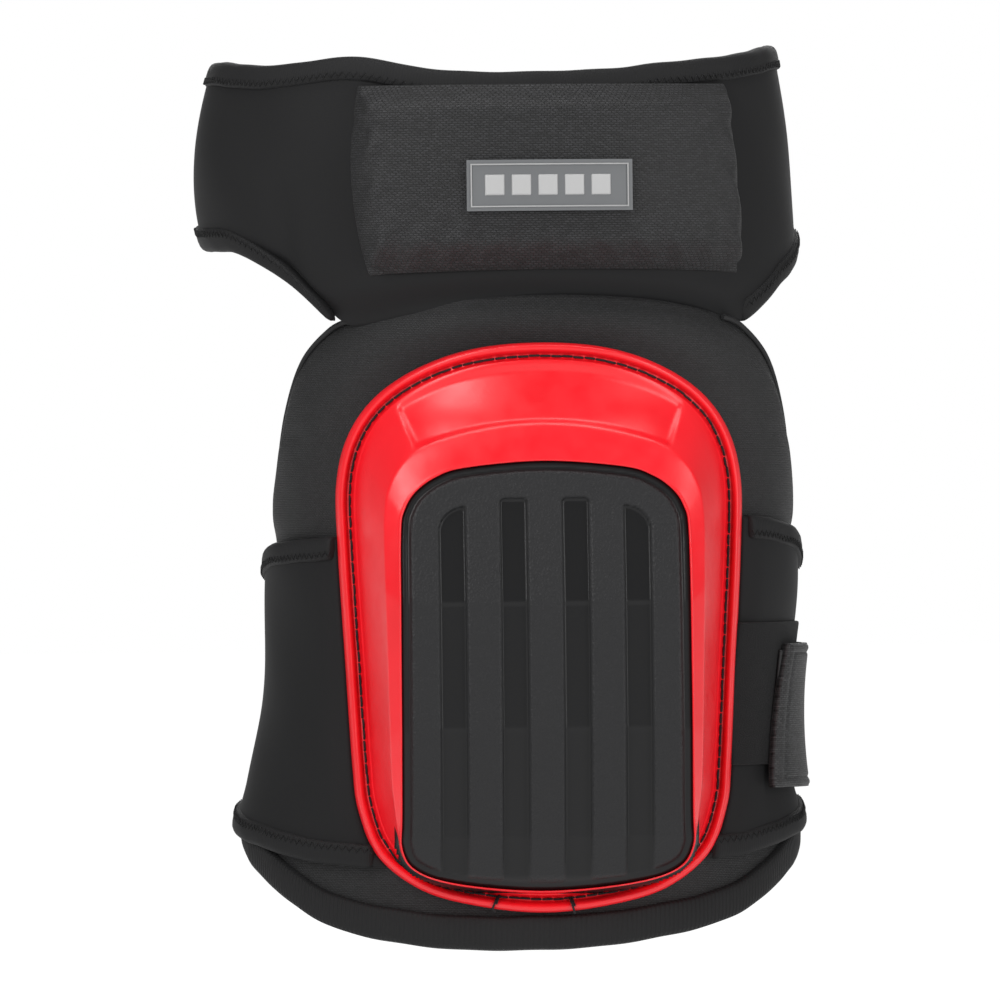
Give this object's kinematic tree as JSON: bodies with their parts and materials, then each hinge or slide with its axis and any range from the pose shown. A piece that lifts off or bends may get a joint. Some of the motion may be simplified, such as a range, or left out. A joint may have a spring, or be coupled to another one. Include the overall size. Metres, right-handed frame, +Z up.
{
  "type": "knee pad",
  "caption": "Strap-on work knee pad: moulded cap with grooved rubber insert on a padded body, neoprene calf band and padded thigh cuff with hook-and-loop straps",
  "frame": {"origin": "middle of the leg opening at the height of the middle of the cap", "axes": "+X to the right seen from the front, -Y towards the kneeling face, +Z up the leg as worn"},
  "size_m": [0.2259, 0.156, 0.3315],
  "materials": {
    "red_plastic": "moulded semi-gloss",
    "black_rubber": "moulded fine grain",
    "neoprene": "jersey-faced neoprene",
    "cover_weave": "coated woven polyester",
    "elastic_tape": "folded elastic tape",
    "ribbed_tape": "ribbed woven tape",
    "loop_pile": "brushed loop pile",
    "webbing": "woven webbing",
    "hook_tape": "moulded hooks",
    "thread": "sewing thread",
    "label_rubber": "moulded soft rubber",
    "foam": "closed-cell foam",
    "gel": "soft gel",
    "lining": "knitted mesh lining"
  },
  "bodies": {
    "root": {"cap_shell": "red_plastic", "cap_insert": "black_rubber", "cap_stitching": "thread", "cap_filler": "foam", "knee_cover": "cover_weave", "foam_core": "foam", "gel_cushion": "gel", "inner_lining": "lining", "bottom_binding": "ribbed_tape", "left_edge_piping": "ribbed_tape", "right_edge_piping": "ribbed_tape", "left_wing": "neoprene", "right_wing": "neoprene", "left_wing_top_binding": "elastic_tape", "left_wing_bottom_binding": "elastic_tape", "right_wing_top_binding": "elastic_tape", "right_wing_bottom_binding": "elastic_tape", "calf_loop_patch": "loop_pile", "calf_strap_anchor": "webbing", "cuff_neck": "neoprene"},
    "calf_strap": {"calf_strap_back": "webbing"},
    "calf_strap_tip": {"calf_strap_end": "webbing", "calf_strap_tab": "webbing", "calf_hook_patch": "hook_tape"},
    "cuff": {"cuff_band": "neoprene", "cuff_top_binding": "elastic_tape", "cuff_left_binding": "elastic_tape", "cuff_right_binding": "elastic_tape", "thigh_pocket": "cover_weave", "thigh_foam": "foam", "label": "label_rubber", "label_stitching": "thread", "cuff_loop_patch": "loop_pile", "cuff_strap_anchor": "webbing"},
    "cuff_strap": {"cuff_strap_back": "webbing"},
    "cuff_strap_tip": {"cuff_strap_end": "webbing", "cuff_hook_patch": "hook_tape"}
  },
  "joints": [
    {"name": "cuff_flex", "type": "hinge", "parent": "root", "child": "cuff", "pos_m": [0, -0.06, 0.124], "axis": [-1, 0, 0], "range_deg": [-8, 34], "stiffness_Nm_per_rad": 0.4, "deforming": ["cuff_neck"]},
    {"name": "calf_strap_open", "type": "hinge", "parent": "root", "child": "calf_strap", "pos_m": [-0.07437, 0.051, -0.0325], "axis": [0, 0, 1], "range_deg": [0, 60]},
    {"name": "calf_strap_uncurl", "type": "hinge", "parent": "calf_strap", "child": "calf_strap_tip", "pos_m": [0.06612, 0.051, -0.0325], "axis": [0, 0, 1], "range_deg": [0, 75]},
    {"name": "cuff_strap_open", "type": "hinge", "parent": "cuff", "child": "cuff_strap", "pos_m": [-0.09547, 0.046, 0.179], "axis": [0, 0, 1], "range_deg": [0, 60]},
    {"name": "cuff_strap_uncurl", "type": "hinge", "parent": "cuff_strap", "child": "cuff_strap_tip", "pos_m": [0.03364, 0.06, 0.179], "axis": [0, 0, 1], "range_deg": [0, 60]}
  ],
  "couplings": [
    {"joint": "calf_strap_uncurl", "follows": "calf_strap_open", "ratio": 1.25},
    {"joint": "cuff_strap_uncurl", "follows": "cuff_strap_open", "ratio": 1}
  ]
}
